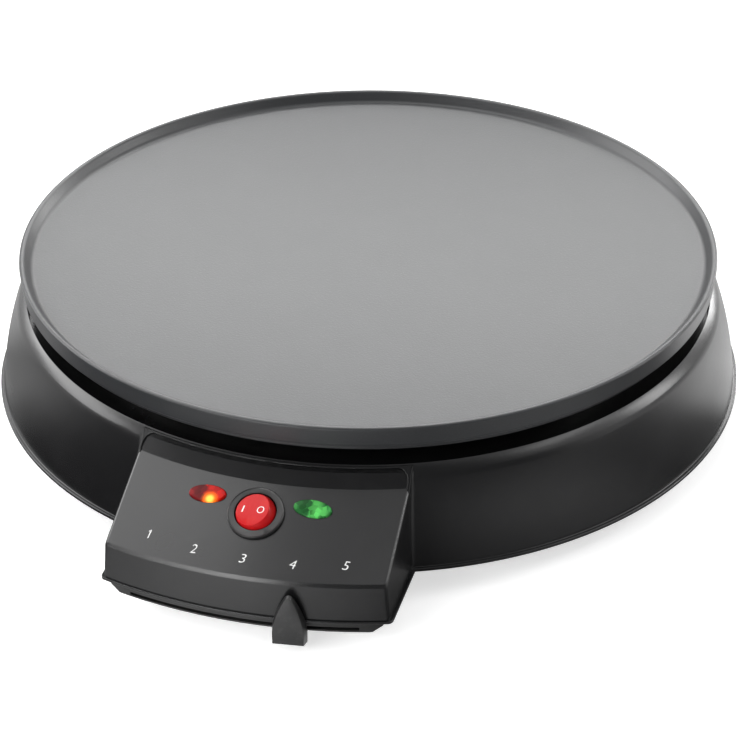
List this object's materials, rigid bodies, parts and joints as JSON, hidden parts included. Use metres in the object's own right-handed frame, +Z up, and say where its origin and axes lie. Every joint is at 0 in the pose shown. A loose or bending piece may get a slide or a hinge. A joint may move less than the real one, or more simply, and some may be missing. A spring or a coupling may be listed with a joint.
{
  "type": "electric crepe maker",
  "caption": "Round electric crepe hotplate on a bell-shaped base, with a sloping control panel, a rocker switch and a sliding heat lever.",
  "frame": {"origin": "centre of the footprint, on the worktop", "axes": "+Z up out of the hotplate; -Y towards the control panel, so +X is to the right of someone facing it"},
  "size_m": [0.3342, 0.3735, 0.074],
  "materials": {
    "coated_aluminium": "non-stick coating, satin",
    "black_plastic": "satin black moulding",
    "base_plastic": "matte black moulding",
    "knob_plastic": "satin black moulding",
    "switch_black": "glossy black",
    "switch_red": "translucent red, glossy",
    "lens_red": "translucent red lamp lens",
    "lens_green": "translucent green lamp lens",
    "steel": "zinc-plated steel",
    "element_steel": "heat-tinted steel tube",
    "bimetal": "rolled bimetal strip",
    "brass": "plain brass",
    "ceramic": "unglazed steatite",
    "lamp_glass": "clear glass lamp",
    "lamp_sleeve": "white heat-resistant plastic",
    "fuse_body": "glass-fibre sleeve over the fuse",
    "bush_rubber": "matte black rubber",
    "foot_rubber": "matte black rubber"
  },
  "bodies": {
    "base": {"hotplate": "coated_aluminium", "heating_element": "element_steel", "element_seals": "ceramic", "element_tabs": "steel", "heat_reflector": "steel", "plate_standoffs": "steel", "plate_screws": "steel", "upper_housing": "black_plastic", "base_cover": "base_plastic", "rubber_feet": "foot_rubber", "cover_screws": "steel", "thermostat_plate": "steel", "thermostat_screws": "steel", "thermostat_frame": "steel", "stack_insulators": "ceramic", "bimetal_strip": "bimetal", "contact_blades": "brass", "stack_rivet": "steel", "spindle_bush": "brass", "switch_body": "switch_black", "switch_terminals": "brass", "red_lens": "lens_red", "green_lens": "lens_green", "lamp_holders": "lamp_sleeve", "neon_lamps": "lamp_glass", "cord_bush": "bush_rubber", "terminal_block": "ceramic", "terminal_screws": "brass", "thermal_fuse": "fuse_body", "fuse_clip": "steel", "fuse_screw": "steel", "earth_tag": "brass", "earth_screw": "steel"},
    "lever": {"thermostat_spindle": "steel", "spindle_circlip": "steel", "lever_arm": "steel", "arm_clip": "steel", "lever_knob": "knob_plastic"},
    "rocker": {"rocker": "switch_red", "plunger_spring": "steel", "switch_plunger": "base_plastic"},
    "contact": {"contact_bridge": "brass"}
  },
  "joints": [
    {"name": "heat_lever", "type": "hinge", "parent": "base", "child": "lever", "pos_m": [0, 0.01995, 0.0149], "axis": [0, 0, 1], "range_deg": [-18.3, 6.1]},
    {"name": "rocker_tilt", "type": "hinge", "parent": "base", "child": "rocker", "pos_m": [0, -0.15326, 0.04146], "axis": [0, 0.8988, 0.4384], "range_deg": [0, 24]},
    {"name": "contact_tilt", "type": "hinge", "parent": "base", "child": "contact", "pos_m": [0, -0.14861, 0.03194], "axis": [0, 0.8988, 0.4384], "range_deg": [-10.5, 0]}
  ],
  "couplings": [
    {"joint": "contact_tilt", "follows": "rocker_tilt", "ratio": -0.41667}
  ]
}
